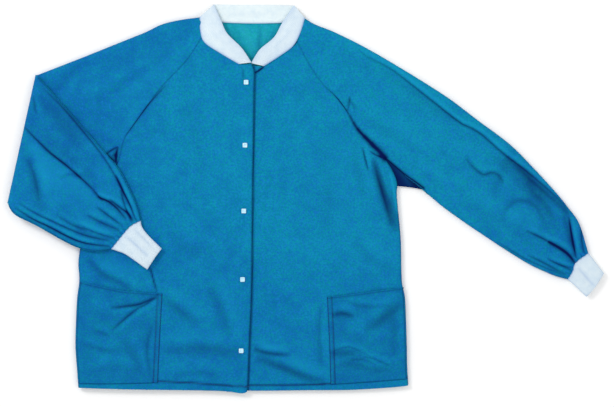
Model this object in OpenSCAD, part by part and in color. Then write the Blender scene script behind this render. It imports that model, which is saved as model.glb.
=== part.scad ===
// Snap-front lab coat with knit collar and cuffs, lying on its back on a table.
// The wearer's right sleeve is folded at the elbow, with its forearm on top; the left is laid out.
// +X is the wearer's left, +Y runs from the hem to the collar and +Z points up from the table.
// The origin is on the table, under the middle of the back panel.

/* [Body] */
// Length from the hem to the shoulder points beside the neck
body_len = 745; // [560:5:900]
// Width across the hem, laid flat
hem_w = 660; // [550:5:800]
// Width across the chest at the armpits, laid flat
chest_w = 600; // [500:5:720]
// Height of the armpits above the hem
armpit_up = 402; // [330:1:480]
// How far the hem lies towards the right of the body's middle line
hem_shift = 8; // [0:1:20]
// How far the right side seam bows outwards
right_side_bow = 20; // [0:1:30]
// How far the left side seam bows outwards
left_side_bow = 5; // [0:1:30]
// How far the right raglan seam bows towards the sleeve
right_raglan_bow = 15; // [0:1:20]
// How far the left raglan seam bows towards the sleeve
left_raglan_bow = 5; // [0:1:20]

/* [Neck and collar] */
// Distance between the shoulder points
neck_w = 210; // [175:1:250]
// How far the neck lies towards the left of the body's middle line
neck_shift = 11; // [0:1:20]
// Depth of the front neck below the shoulder points
neck_drop = 91; // [78:1:110]
// Length of each sleeve's end at the neck
sleeve_neck_w = 48; // [40:1:58]
// Lean of the left sleeve's end at the neck
left_neck_lean = 19; // [0:1:25]
// Width of the folded knit collar
collar_w = 38; // [30:1:46]
// Thickness of the folded knit
knit_t = 3; // [2:0.1:3.6]
// How far the collar's ends stand above the cloth they join
collar_proud = 0.6; // [0:0.1:0.8]

/* [Front opening] */
// Where the lapping edge ends at the neck, from the middle line
edge_top_x = 12; // [0:1:20]
// Where the lapping edge ends at the hem, from the middle line
edge_hem_x = 0; // [-10:1:10]
// How far the right front laps over the left
overlap = 24; // [20:1:26]
// Width of the facing inside each front edge
facing_w = 40; // [30:1:50]

/* [Snaps] */
// Number of snaps
snap_n = 5; // [3:1:6]
// Distance of the first snap below the front neck
snap_drop = 37; // [25:1:60]
// Gap between the first two snaps
snap_pitch = 126; // [80:1:152]
// How much longer each gap is than the one above it
snap_pitch_step = 5.5; // [0:0.5:6]
// Distance of the snaps inside the lapping edge
snap_inset = 13; // [10:0.5:15]
// Side of a square snap cap
cap_w = 9.5; // [8:0.1:11]
// Height of a snap cap
cap_h = 1.6; // [1:0.1:2.4]
// Radius of the snap's inner discs
disc_r = 4.5; // [3.6:0.1:5.4]
// Radius of the pin that joins a snap through the cloth
pin_r = 1.2; // [0.8:0.1:1.5]
// Radius of the stud's head
stud_r = 1.6; // [1.2:0.1:2]

/* [Sleeves] */
// Length of the right sleeve's top from the neck to the elbow fold
right_upper_len = 348; // [290:1:420]
// Slope of the right upper sleeve below level
right_upper_slope = 19.5; // [15:0.5:25]
// Length of the right elbow fold
right_elbow_w = 260; // [215:1:312]
// Lean of the right elbow fold from the body's length
right_elbow_lean = 12.4; // [5:0.1:18]
// Length of the right forearm's top edge from the fold to the cuff
right_fore_len = 358; // [298:1:430]
// Slope of the right forearm's top edge below level
right_fore_slope = 54; // [50:0.5:58]
// Length of the left sleeve's top from the neck to the elbow
left_upper_len = 372; // [310:1:446]
// Slope of the left upper sleeve below level
left_upper_slope = 29.5; // [25:0.5:34]
// Width of the left sleeve at the elbow, along the body's length
left_elbow_w = 225; // [188:1:270]
// Length of the left forearm's top edge from the elbow to the cuff
left_fore_len = 376; // [313:1:450]
// Slope of the left forearm's top edge below level
left_fore_slope = 49.5; // [45:0.5:54]
// Width of cloth across the left underarm
underarm_w = 50; // [40:1:60]
// Where the left sleeve folds over the body, from the neck along its top
shoulder_fold_out = 94; // [70:1:120]

/* [Cuffs] */
// Width of the right cuff's seam
right_cuff_w = 82; // [68:1:98]
// Width of the left cuff's seam
left_cuff_w = 68; // [56:1:82]
// Width of a cuff's opening
cuff_open_w = 56; // [46:1:67]
// Length of the knit of the right cuff, as it lies
right_cuff_len = 66; // [54:1:80]
// Length of the knit of the left cuff, as it lies
left_cuff_len = 51; // [42:1:62]
// Slope of the right cuff below level
right_cuff_slope = 44; // [40:0.5:48]
// Slope of the left cuff below level
left_cuff_slope = 47.8; // [44:0.5:52]

/* [Pockets] */
// Width of a pocket
pocket_w = 158; // [130:1:190]
// Height of a pocket at its middle
pocket_h = 190; // [158:1:228]
// How much lower the mouth is at its inner end
mouth_drop = 20; // [0:1:30]
// Distance of a pocket from the side seam
pocket_inset = 2.5; // [2:0.5:8]
// Height of a pocket's bottom seam above the hem
hem_turn = 12; // [8:1:20]
// Space for a hand inside a pocket
hand_gap = 6; // [5:0.5:8]
// Width of the sewn border round a pocket
edging_w = 8; // [5:0.5:10]

/* [Layers] */
// Thickness of the cloth
cloth_t = 1.2; // [0.8:0.1:1.4]
// Height of the coat over its left front
left_h = 12.2; // [12:0.1:15]
// Gap between the two fronts, filled by the snaps
snap_gap = 2.2; // [2.2:0.1:3]
// Clearance between layers that move over each other
layer_gap = 0.4; // [0.3:0.05:0.6]
// Clearance where a moving piece meets its neighbour along a fold
split_gap = 0.4; // [0.3:0.05:0.8]

/* [Hidden] */
$fn = 48;
main_blue = "#1478B0";
shade_blue = "#0F5C94";
inside_teal = "#18A0B0";
knit_white = "#DCE8F4";
snap_white = "#F2F8FA";
far = 2000;                 // longer than the whole coat, for cutting pieces apart
pin_gap = 0.1;              // clearance of a snap's pin in the cloth
disc_t = 0.8;               // thickness of a post's inner disc
stud_base_t = 0.5;          // thickness of a stud's disc
socket_t = 1.4;             // height of a socket
stud_gap = 0.4;             // clearance round a stud's head in its socket
stud_top_gap = 0.2;         // clearance above a stud's head in its socket
socket_floor = 0.4;         // cloth side of a socket
dimple_r = 1.6;             // dimple in the middle of a cap
dimple_h = 0.5;
seam_turn = 12;             // cloth past the folds of the collar's ends

// Heights of the layers
right_h = left_h + snap_gap + 2 * cloth_t;
fore_z = right_h + layer_gap;

// Corners of the body
hem_y = -body_len / 2;
shoulder_y = body_len / 2;
armpit_y = hem_y + armpit_up;
hem_r = [-hem_shift - hem_w / 2, hem_y];
hem_l = [-hem_shift + hem_w / 2, hem_y];
armpit_r = [-chest_w / 2, armpit_y];
armpit_l = [chest_w / 2, armpit_y];
neck_r = [neck_shift - neck_w / 2, shoulder_y];
neck_l = [neck_shift + neck_w / 2, shoulder_y];
raglan_r = neck_r - [0, sleeve_neck_w];
raglan_l = neck_l - sleeve_neck_w * [sin(left_neck_lean), cos(left_neck_lean)];

// Points along the lapping edge, and the notch where the two fronts meet at the neck
notch_y = shoulder_y - neck_drop;
notch = [edge_top_x - 4, notch_y + 4];
function edge_x(y) = edge_hem_x + (edge_top_x - edge_hem_x) * (y - hem_y) / (notch_y - hem_y);
seam_low_r = [notch.x - collar_w * 0.7, notch_y];
seam_low_l = [notch.x + collar_w * 0.7, notch_y - 4];
under_top = [edge_top_x - overlap, seam_low_l.y];

// Collar corners: where the band turns at the shoulders, and where it meets the back's seam
fold_out = collar_w * 0.7;
turn_r = neck_r + [fold_out, fold_out];
turn_l = neck_l + [-fold_out, fold_out];
throat_r = neck_r + [collar_w + 4, -6];
throat_l = neck_l + [-collar_w - 4, -6];
collar_bow = 4;
collar_split_y = raglan_r.y + seam_turn;

// Sleeve corners
function along(a, slope, len) = a + len * [cos(slope), -sin(slope)];
elbow_top_r = along(neck_r, 180 - right_upper_slope, right_upper_len);
elbow_low_r = elbow_top_r - right_elbow_w * [sin(right_elbow_lean), cos(right_elbow_lean)];
wrist_top_r = along(elbow_top_r, right_fore_slope, right_fore_len);
wrist_low_r = along(wrist_top_r, 90 + right_cuff_slope, right_cuff_w);
elbow_top_l = along(neck_l, left_upper_slope, left_upper_len);
elbow_low_l = elbow_top_l - [0, left_elbow_w];
wrist_top_l = along(elbow_top_l, left_fore_slope, left_fore_len);
wrist_low_l = along(wrist_top_l, 90 + left_cuff_slope, left_cuff_w);
underarm_l = armpit_l + [underarm_w, -3];
fold_top_l = along(neck_l, left_upper_slope, shoulder_fold_out);
fold_low_l = armpit_l + [underarm_w / 5, 0];

// How far the edges of the sleeves bow outwards
upper_bow = 7;
right_fore_top_bow = 16;
right_fore_low_bow = 24;
left_fore_top_bow = 28;
left_fore_low_bow = 12;

// Points between a and b on an arc-like curve that bows by h to the right of the way from a to b
function bow(a, b, h, n = 6) = [
  for (i = [1:n - 1])
    let (s = i / n, d = b - a)
    a + s * d + 4 * h * s * (1 - s) * [d.y, -d.x] / norm(d)
];

function reversed(list) = [for (i = [len(list) - 1:-1:0]) list[i]];

// A counter-clockwise outline with edge i moved inwards by walls[i], or outwards where that is negative
function inset(pts, walls) = [
  for (i = [0:len(pts) - 1])
    let (
      n = len(pts),
      a = pts[(i + n - 1) % n], b = pts[i], c = pts[(i + 1) % n],
      u = (b - a) / norm(b - a), v = (c - b) / norm(c - b),
      p = b + walls[(i + n - 1) % n] * [-u.y, u.x],
      q = b + walls[i] * [-v.y, v.x],
      turn = u.x * v.y - u.y * v.x,
      w = q - p
    )
    abs(turn) < 0.001 ? p : p + u * (w.x * v.y - w.y * v.x) / turn
];

function repeat(value, n) = [for (i = [1:n]) value];

// Seams shared by two or more pieces
right_side = concat([hem_r], bow(hem_r, armpit_r, -right_side_bow), [armpit_r]);
left_side = concat([hem_l], bow(hem_l, armpit_l, left_side_bow), [armpit_l]);
right_raglan = concat([raglan_r], bow(raglan_r, armpit_r, right_raglan_bow), [armpit_r]);
left_raglan = concat([raglan_l], bow(raglan_l, armpit_l, -left_raglan_bow), [armpit_l]);
right_neck_seam = [[edge_top_x, notch_y], seam_low_r, raglan_r];
left_neck_seam = [raglan_l, seam_low_l, under_top];

right_front_outline = concat([hem_r, [edge_hem_x, hem_y]], right_neck_seam, right_raglan, reversed(right_side));
left_front_outline = concat([[edge_hem_x - overlap, hem_y]], left_side, reversed(left_raglan), left_neck_seam);
back_outline = concat([hem_r], left_side, reversed(left_raglan), [neck_l, neck_r], right_raglan, reversed(right_side));

// Snaps, from the neck down
snaps = [
  for (i = [0:snap_n - 1])
    let (y = notch_y - snap_drop - i * snap_pitch - snap_pitch_step * i * (i - 1) / 2)
    [edge_x(y) - snap_inset, y]
];

module slab(points, z, h) {
  translate([0, 0, z])
    linear_extrude(h) polygon(points);
}

// A flat tube of cloth: open_ends has -1 for each edge left open and 1 for each wall
module tube(points, edges, z, h, t) {
  difference() {
    slab(points, z, h);
    slab(inset(points, t * edges), z + t, h - 2 * t);
  }
}

// Everything to the right of the way from a to b, moved away from that line by gap
module right_of(a, b, gap) {
  d = b - a;
  translate([a.x, a.y, -far / 2])
    rotate(atan2(d.y, d.x))
      translate([-far, -far - gap, 0])
        cube([2 * far, far, far]);
}

module at_snaps(z) {
  for (p = snaps) translate([p.x, p.y, z]) children();
}

module snap_holes(z, h) {
  at_snaps(z - 1) cylinder(h = h + 2, r = pin_r + pin_gap);
}

module back_panel() {
  color(inside_teal)
    slab(back_outline, 0, cloth_t);
}

// A side wall of cloth down to the back panel, inside the side seam
module side_wall(seam, top) {
  n = len(seam);
  inner = [for (i = [0:n - 1]) seam[i] + [seam[0].x < 0 ? cloth_t : -cloth_t, 0]];
  slab(seam[0].x < 0 ? concat(reversed(seam), inner) : concat(seam, reversed(inner)), cloth_t, top - cloth_t);
}

module right_front_side() {
  color(main_blue) {
    difference() {
      slab(right_front_outline, right_h - cloth_t, cloth_t);
      right_of(raglan_r, raglan_r + [0, 1], -split_gap / 2);
    }
    side_wall(right_side, right_h - cloth_t);
  }
}

module right_front() {
  color(main_blue)
    difference() {
      slab(right_front_outline, right_h - cloth_t, cloth_t);
      right_of(raglan_r, raglan_r + [0, -1], -split_gap / 2);
      snap_holes(right_h - cloth_t, cloth_t);
    }
}

module right_front_facing() {
  color(shade_blue)
    difference() {
      slab([
        [edge_hem_x - facing_w, hem_y], [edge_hem_x, hem_y],
        [edge_top_x, notch_y], [edge_top_x - facing_w, notch_y]
      ], right_h - 2 * cloth_t, cloth_t);
      snap_holes(right_h - 2 * cloth_t, cloth_t);
    }
}

module left_front_side() {
  color(main_blue) {
    difference() {
      slab(left_front_outline, left_h - cloth_t, cloth_t);
      right_of(raglan_l, raglan_l + [0, -1], -split_gap / 2);
    }
    side_wall(left_side, left_h - cloth_t);
  }
}

module left_front() {
  color(main_blue)
    difference() {
      slab(left_front_outline, left_h - cloth_t, cloth_t);
      right_of(raglan_l, raglan_l + [0, 1], -split_gap / 2);
      snap_holes(left_h - cloth_t, cloth_t);
    }
}

module left_front_facing() {
  color(shade_blue)
    difference() {
      slab([
        [edge_hem_x - overlap, hem_y], [edge_hem_x - overlap + facing_w, hem_y],
        under_top + [facing_w, 0], under_top
      ], left_h - 2 * cloth_t, cloth_t);
      snap_holes(left_h - 2 * cloth_t, cloth_t);
    }
}

module right_upper_sleeve() {
  top = bow(neck_r, elbow_top_r, upper_bow);
  points = concat([neck_r], top, [elbow_top_r, elbow_low_r], reversed(right_raglan));
  edges = concat(repeat(1, len(top) + 1), [-1, 1], repeat(-1, len(right_raglan) - 1), [1]);
  color(main_blue)
    difference() {
      tube(points, edges, 0, right_h, cloth_t);
      right_of(elbow_top_r, elbow_low_r, -split_gap / 2);
    }
}

module right_forearm_sleeve() {
  low = bow(elbow_low_r, wrist_low_r, right_fore_low_bow);
  top = bow(wrist_top_r, elbow_top_r, right_fore_top_bow);
  points = concat([elbow_top_r, elbow_low_r], low, [wrist_low_r, wrist_top_r], top);
  edges = concat([-1], repeat(1, len(low) + 1), [-1], repeat(1, len(top) + 1));
  color(main_blue)
    difference() {
      tube(points, edges, fore_z, left_h, cloth_t);
      right_of(elbow_top_r, elbow_low_r, -split_gap / 2);
    }
}

// A knit cuff from its seam to its opening, along a slope below level
module cuff(wrist_top, wrist_low, slope, length, z) {
  middle = along((wrist_top + wrist_low) / 2, slope, length);
  side = cuff_open_w / 2 * [sin(slope), cos(slope)];
  color(knit_white)
    tube([wrist_low, middle - side, middle + side, wrist_top], [1, -1, 1, -1], z, left_h, knit_t);
}

module right_cuff() {
  cuff(wrist_top_r, wrist_low_r, right_cuff_slope, right_cuff_len, fore_z);
}

module left_cuff() {
  cuff(wrist_top_l, wrist_low_l, left_cuff_slope, left_cuff_len, 0);
}

// The whole left sleeve, which the next three modules take their stretches from
module left_sleeve() {
  low = bow(elbow_low_l, wrist_low_l, left_fore_low_bow);
  fore_top = bow(wrist_top_l, elbow_top_l, left_fore_top_bow);
  upper_top = bow(elbow_top_l, neck_l, upper_bow);
  points = concat(
    left_raglan, [underarm_l, elbow_low_l], low,
    [wrist_low_l, wrist_top_l], fore_top, [elbow_top_l], upper_top, [neck_l]
  );
  edges = concat(
    repeat(-1, len(left_raglan) - 1), [1, 1], repeat(1, len(low) + 1),
    [-1], repeat(1, len(fore_top) + 1), repeat(1, len(upper_top) + 1), [1]
  );
  tube(points, edges, 0, left_h, cloth_t);
}

module left_sleeve_head() {
  color(main_blue)
    difference() {
      left_sleeve();
      right_of(fold_low_l, fold_top_l, -split_gap / 2);
    }
}

module left_upper_sleeve() {
  color(main_blue)
    difference() {
      left_sleeve();
      right_of(fold_top_l, fold_low_l, -split_gap / 2);
      right_of(elbow_low_l, elbow_top_l, -split_gap / 2);
    }
}

module left_forearm_sleeve() {
  color(main_blue)
    difference() {
      left_sleeve();
      right_of(elbow_top_l, elbow_low_l, -split_gap / 2);
    }
}

// The two legs of the collar band, from the turn at the shoulder down to where its ends part
function collar_leg_r() = [
  throat_r, [bow(throat_r, notch, collar_bow)[0].x, collar_split_y + split_gap],
  [neck_r.x, collar_split_y + split_gap], neck_r, turn_r
];
function collar_leg_l() = [
  throat_l, turn_l, neck_l, along(neck_l, 90 + left_neck_lean, leg_len_l),
  [bow(throat_l, notch, -collar_bow)[0].x, collar_split_y + split_gap]
];
leg_len_l = (shoulder_y - collar_split_y - split_gap) / cos(left_neck_lean);

module back_collar() {
  color(knit_white) {
    slab([throat_r, throat_l, turn_l, turn_r], cloth_t, knit_t);
    slab(reversed(collar_leg_r()), cloth_t, right_h + collar_proud - cloth_t);
    slab(reversed(collar_leg_l()), cloth_t, left_h + collar_proud - cloth_t);
  }
}

module right_collar_end() {
  inner = bow(throat_r, notch, collar_bow);
  color(knit_white)
    difference() {
      slab(concat([neck_r, raglan_r, seam_low_r, [edge_top_x, notch_y], notch], reversed(inner), [throat_r]),
        right_h + collar_proud - knit_t, knit_t);
      right_of([0, collar_split_y], [-1, collar_split_y], 0);
      right_of(raglan_r, raglan_r + [0, -1], -split_gap / 2 - 2 * collar_proud);
    }
}

module left_collar_end() {
  inner = bow(throat_l, notch, -collar_bow);
  color(knit_white)
    difference() {
      slab(concat([under_top, seam_low_l, raglan_l, neck_l, throat_l], inner, [notch, under_top + [0, 8]]),
        left_h + collar_proud - knit_t, knit_t);
      right_of([0, collar_split_y], [-1, collar_split_y], 0);
      right_of(raglan_l, raglan_l + [0, 1], -split_gap / 2 - 2 * collar_proud);
    }
}

// Outline of a pocket, from its outer bottom corner; side is -1 on the right of the body and 1 on the left
pocket_y = hem_y + hem_turn;
function side_x_r(y) = let (s = (y - hem_y) / armpit_up)
  hem_r.x + s * (armpit_r.x - hem_r.x) - 4 * right_side_bow * s * (1 - s) + pocket_inset;
function side_x_l(y) = let (s = (y - hem_y) / armpit_up)
  hem_l.x + s * (armpit_l.x - hem_l.x) + 4 * left_side_bow * s * (1 - s) - pocket_inset;
mouth_outer_y = pocket_y + pocket_h + mouth_drop / 2;
mouth_inner_y = mouth_outer_y - mouth_drop;
right_pocket_outline = [
  [side_x_r(pocket_y), pocket_y], [side_x_r(pocket_y) + pocket_w, pocket_y],
  [side_x_r(mouth_outer_y) + pocket_w, mouth_inner_y], [side_x_r(mouth_outer_y), mouth_outer_y]
];
left_pocket_outline = [
  [side_x_l(pocket_y) - pocket_w, pocket_y], [side_x_l(pocket_y), pocket_y],
  [side_x_l(mouth_outer_y), mouth_outer_y], [side_x_l(mouth_outer_y) - pocket_w, mouth_inner_y]
];

module pocket_edging(outline, z) {
  color(shade_blue)
    difference() {
      slab(outline, z, hand_gap - layer_gap);
      slab(inset(outline, edging_w * [1, 1, -1, 1]), z - 1, hand_gap + 2);
    }
}

module right_pocket() {
  color(main_blue) slab(right_pocket_outline, right_h + hand_gap, cloth_t);
}

module right_pocket_edging() {
  pocket_edging(right_pocket_outline, right_h);
}

module left_pocket() {
  color(main_blue) slab(left_pocket_outline, left_h + hand_gap, cloth_t);
}

module left_pocket_edging() {
  pocket_edging(left_pocket_outline, left_h);
}

// Square caps on the right front, with their pins through the cloth
module snap_caps() {
  color(snap_white)
    at_snaps(right_h) {
      difference() {
        translate([-cap_w / 2, -cap_w / 2, 0]) cube([cap_w, cap_w, cap_h]);
        translate([0, 0, cap_h - dimple_h]) cylinder(h = 1, r = dimple_r);
      }
      translate([0, 0, -2 * cloth_t]) cylinder(h = 2 * cloth_t, r = pin_r);
    }
}

// Sockets under the right front, open downwards
module snap_sockets() {
  color(snap_white)
    at_snaps(right_h - 2 * cloth_t - socket_t)
      difference() {
        cylinder(h = socket_t, r = disc_r);
        translate([0, 0, -1]) cylinder(h = socket_t - socket_floor + 1, r = stud_r + stud_gap);
      }
}

// Studs on the left front, each with its head in a socket
module snap_studs() {
  head_h = snap_gap - socket_floor - stud_top_gap;
  color(snap_white)
    at_snaps(left_h) {
      cylinder(h = stud_base_t, r = disc_r);
      cylinder(h = head_h, r = stud_r);
    }
}

// Discs inside the left front, with their pins through the cloth up to the studs
module snap_posts() {
  color(snap_white)
    at_snaps(left_h - 2 * cloth_t) {
      translate([0, 0, -disc_t]) cylinder(h = disc_t, r = disc_r);
      cylinder(h = 2 * cloth_t, r = pin_r);
    }
}

back_panel();
right_front_side();
right_front();
right_front_facing();
left_front_side();
left_front();
left_front_facing();
right_upper_sleeve();
right_forearm_sleeve();
right_cuff();
left_sleeve_head();
left_upper_sleeve();
left_forearm_sleeve();
left_cuff();
back_collar();
right_collar_end();
left_collar_end();
right_pocket();
right_pocket_edging();
left_pocket();
left_pocket_edging();
snap_caps();
snap_sockets();
snap_studs();
snap_posts();
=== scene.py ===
import bpy
import numpy as np
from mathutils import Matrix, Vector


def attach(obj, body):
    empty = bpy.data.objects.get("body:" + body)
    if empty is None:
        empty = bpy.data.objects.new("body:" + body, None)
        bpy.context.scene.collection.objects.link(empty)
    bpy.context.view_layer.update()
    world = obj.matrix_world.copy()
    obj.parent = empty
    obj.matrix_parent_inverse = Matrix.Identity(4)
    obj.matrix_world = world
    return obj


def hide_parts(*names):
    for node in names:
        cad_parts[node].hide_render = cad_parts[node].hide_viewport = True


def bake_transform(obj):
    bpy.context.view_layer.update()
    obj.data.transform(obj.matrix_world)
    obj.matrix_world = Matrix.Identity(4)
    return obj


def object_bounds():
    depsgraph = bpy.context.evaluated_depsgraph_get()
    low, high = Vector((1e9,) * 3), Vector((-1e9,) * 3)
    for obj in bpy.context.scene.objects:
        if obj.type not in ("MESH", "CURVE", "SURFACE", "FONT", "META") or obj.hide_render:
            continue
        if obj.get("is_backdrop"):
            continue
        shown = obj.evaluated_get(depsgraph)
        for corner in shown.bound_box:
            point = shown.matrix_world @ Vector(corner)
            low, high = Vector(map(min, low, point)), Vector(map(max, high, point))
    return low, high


# Lengths are in millimetres up to the mesh builder, which turns them to metres.
# +X is the wearer's left, +Y runs from the hem to the collar, +Z is up from the table.

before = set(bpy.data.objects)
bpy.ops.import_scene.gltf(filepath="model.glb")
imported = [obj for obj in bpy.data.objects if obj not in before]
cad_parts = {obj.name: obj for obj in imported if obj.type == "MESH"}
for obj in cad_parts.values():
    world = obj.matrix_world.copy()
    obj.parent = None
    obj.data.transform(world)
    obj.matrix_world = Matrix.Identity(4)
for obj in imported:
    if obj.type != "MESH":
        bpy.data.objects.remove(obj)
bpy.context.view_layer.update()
print("frame loaded")

layers = {
    "cloth": 0.9,  # thickness of the nonwoven
    "low": 0.95,  # outside of the cloth that lies on the table, above the table
    "right": 15.9,  # outside of the cloth on the wearer's right, above the table
    "left": 11.7,  # outside of the cloth on the wearer's left
    "foreLow": 17.9,  # underside of the folded forearm
    "foreTop": 28.3,  # top of the folded forearm
    "rightRound": 13.0,  # radius of the turn at the right's folded edges
    "leftRound": 10.0,
    "foreRound": 9.0,
    "rightStop": 16.75,  # highest that the right's cloth may rise, so that it stays under the forearm
    "ripple": 0.45,  # height of the slow unevenness
    "hemLine": -372.0,  # where the hem lies along Y
    "hemDroop": 0.42,  # share of the height lost at the hem
    "hemReach": 13.0,  # how far in from the hem that loss reaches
}
mesh = {
    "step": 2.4,  # spacing of the cloth's grid
    "backStep": 5.5,
    "knitStep": 2.2,
    "seed": 11,
    "relief": 1.25,  # scale of all creases' heights
    # Painted light: shade in creases, highlights on their lit sides and shade at the folded edges
    "paintedShade": 1.5,  # scale of their darkness
    "paintedHighlight": 1.05,  # scale of their lit sides
    "rim": 0.3,  # darkness at the folded edges
    "shortSteps": [0.12, 0.5, 1.1, 2.0, 3.2, 4.8],  # first and last grid lines from a side's ends
}
rng = np.random.default_rng(mesh["seed"])


# Curve: Catmull-Rom through the points, then sampled at even lengths
def smooth(points, count=60):
    p = np.array(points, float)
    p = np.vstack([2 * p[0] - p[1], p, 2 * p[-1] - p[-2]])
    u = np.linspace(0, 1, 16, endpoint=False)[:, None]
    a, b, c, d = (p[i : len(p) - 3 + i, None] for i in range(4))
    turn = (c - a) * u + (2 * a - 5 * b + 4 * c - d) * u**2 + (3 * b - a - 3 * c + d) * u**3
    curve = np.vstack([(b + 0.5 * turn).reshape(-1, 2), p[-2]])
    return at(curve, np.linspace(0, 1, count))


# Points at fractions of a path's length
def at(path, fractions):
    path = np.asarray(path, float)
    run = np.r_[0, np.cumsum(np.linalg.norm(np.diff(path, axis=0), axis=1))]
    return np.stack([np.interp(np.asarray(fractions) * run[-1], run, path[:, k]) for k in range(2)], -1)


# Length of a path: the sum of its straight stretches
def lengthOf(path):
    return np.linalg.norm(np.diff(np.asarray(path, float), axis=0), axis=1).sum()


# Fractions along a side: even steps, with short ones by both ends so that seams and turns stay crisp
def steps(length, step):
    even = np.linspace(0, 1, max(5, int(round(length / step))) + 1)
    ends = np.array(mesh["shortSteps"]) / length
    even = even[(even == 0) | (even == 1) | ((even > ends[-1] * 1.2) & (even < 1 - ends[-1] * 1.2))]
    return np.unique(np.r_[even, ends, 1 - ends])


# Coons patch: the two ruled surfaces between facing sides, less the bilinear one through the corners
def patch(low, high, left, right, s, t):
    low, high, left, right = (np.asarray(side, float) for side in (low, high, left, right))
    a = at(low, s)[None]
    b = at(high, s)[None]
    c = at(left, t)[:, None]
    d = at(right, t)[:, None]
    s = np.asarray(s)[None, :, None]
    t = np.asarray(t)[:, None, None]
    corners = (1 - s) * ((1 - t) * low[0] + t * high[0]) + s * ((1 - t) * low[-1] + t * high[-1])
    return (1 - t) * a + t * b + (1 - s) * c + s * d - corners


# Distance to a path, the fraction along it and the side of it (+1 to the left of its way)
def nearest(x, y, path):
    best = np.full(x.shape, 1e9)
    along = np.zeros(x.shape)
    side = np.ones(x.shape)
    run = 0.0
    for a, b in zip(path[:-1], path[1:]):
        d = b - a
        size = max(np.hypot(*d), 1e-6)
        f = np.clip(((x - a[0]) * d[0] + (y - a[1]) * d[1]) / size**2, 0, 1)
        dx = x - a[0] - f * d[0]
        dy = y - a[1] - f * d[1]
        gap = np.hypot(dx, dy)
        near = gap < best
        best = np.where(near, gap, best)
        along = np.where(near, run + f * size, along)
        side = np.where(near, np.where(d[0] * dy - d[1] * dx >= 0, 1.0, -1.0), side)
        run += size
    return best, along / run, side


# Rise over a folded edge: a quarter circle of radius r from 0 at the edge to 1 inside
def roundEdge(distance, r):
    return np.sqrt(1 - (1 - np.clip(distance / r, 0, 1)) ** 2)


# Slow unevenness of laid cloth: twelve sines of 45 to 190 mm in seeded directions
waves = [(2 * np.pi / rng.uniform(45, 190), rng.uniform(0, np.pi), rng.uniform(0, 6.3)) for _ in range(12)]


def ripple(x, y):
    total = sum(np.sin(k * (x * np.cos(turn) + y * np.sin(turn)) + shift) for k, turn, shift in waves)
    return total / 5.0


# Each crease: its path, half width, height, painted shade along it and a painted highlight on its left, the
# lit side of a fold.
# Its section is a Gaussian, with a narrower band of painted shade inside it where the crease is sharp.
# It fades at both ends as a sine.
def creased(x, y, creases):
    rise = np.zeros(x.shape)
    shade = np.zeros(x.shape)
    for points, width, height, dark, light in creases:
        path = smooth(points, 26)
        reach = 4.5 * width
        near = (x > path[:, 0].min() - reach) & (x < path[:, 0].max() + reach)
        near &= (y > path[:, 1].min() - reach) & (y < path[:, 1].max() + reach)
        if not near.any():
            continue
        gap, along, side = nearest(x[near], y[near], path)
        ends = np.sin(np.pi * np.clip(along, 0.0, 1.0)) ** 0.45
        ends *= np.exp(-(np.clip(np.where((along < 0.002) | (along > 0.998), gap, 0) / width, 0, 9) ** 2))
        body = np.exp(-((gap / width) ** 2)) * ends
        strip = np.exp(-(((gap * side - 1.7 * width) / (1.2 * width)) ** 2)) * ends
        core = np.exp(-((gap / (0.42 * width)) ** 2)) * ends * np.clip((9 - width) / 4, 0, 1)
        rise[near] += height * mesh["relief"] * body
        # Painted shade along the crease, less a painted highlight on the strip to its left
        shade[near] += mesh["paintedShade"] * dark * (0.6 * body + 0.7 * core) - mesh["paintedHighlight"] * light * strip
    return rise, shade


# A seam keeps its depth to both ends: valley and dark line of one width
def seamed(x, y, path, width, depth, dark):
    gap = nearest(x, y, path)[0]
    body = np.exp(-((gap / width) ** 2))
    return -depth * body, dark * body


toneSpots = {
    "reach": 75.0,  # how far a spot's tone carries, mm
    "places": [  # place, and tone from 0 deep blue to 1 greenish
        (-220, 0, 0.58), (180, 0, 0.6), (-60, 200, 0.58), (150, 200, 0.64), (-200, -250, 0.42),
        (220, -250, 0.46), (-120, -350, 0.24), (140, -350, 0.3), (-330, 250, 0.17), (-260, 310, 0.25),
        (-440, 90, 0.3), (-400, 190, 0.06), (-300, 60, 0.1), (-360, -10, 0.28), (-250, -40, 0.08),
        (300, 220, 0.76), (420, 100, 0.66), (520, -10, 0.55), (600, 20, 0.2), (650, -70, 0.1),
        (560, -90, 0.35), (-20, -300, 0.3),
    ],
}


# Base colour of the cloth over the coat: the mean of the spots' tones, each weighted by a Gaussian
def toneAt(x, y):
    spots = toneSpots["places"]
    weights = [np.exp(-((x - a) ** 2 + (y - b) ** 2) / toneSpots["reach"] ** 2) + 1e-6 for a, b, _ in spots]
    return sum(w * spot[2] for w, spot in zip(weights, spots)) / sum(weights)


# Quads of a grid of points; ring joins the last row to the first
def gridFaces(rows, cols, ring=False):
    r = np.arange(rows if ring else rows - 1)[:, None]
    c = np.arange(cols - 1)[None]
    n = (r + 1) % rows
    return np.stack([r * cols + c, r * cols + c + 1, n * cols + c + 1, n * cols + c], -1).reshape(-1, 4)


# Mesh from points in mm and faces, with its rest places and named values kept on its points
def build(name, points, faces, materials, knit=None, **values):
    points = np.asarray(points, float).reshape(-1, 3) * 0.001
    data = bpy.data.meshes.new(name)
    data.from_pydata(points.tolist(), [], faces if isinstance(faces, list) else faces.tolist())
    data.attributes.new("rest", "FLOAT_VECTOR", "POINT").data.foreach_set("vector", points.ravel())
    for key, value in values.items():
        flat = np.broadcast_to(value, len(points)) if np.ndim(value) == 0 else np.ravel(value)
        data.attributes.new(key, "FLOAT", "POINT").data.foreach_set("value", flat.astype(np.float32))
    if knit is not None:
        data.attributes.new("knit", "FLOAT_VECTOR", "POINT").data.foreach_set("vector", np.ravel(knit))
    for material in materials:
        data.materials.append(material)
    data.polygons.foreach_set("use_smooth", np.ones(len(faces), bool))
    data.update()
    obj = bpy.data.objects.new(name, data)
    bpy.context.scene.collection.objects.link(obj)
    return obj


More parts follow.
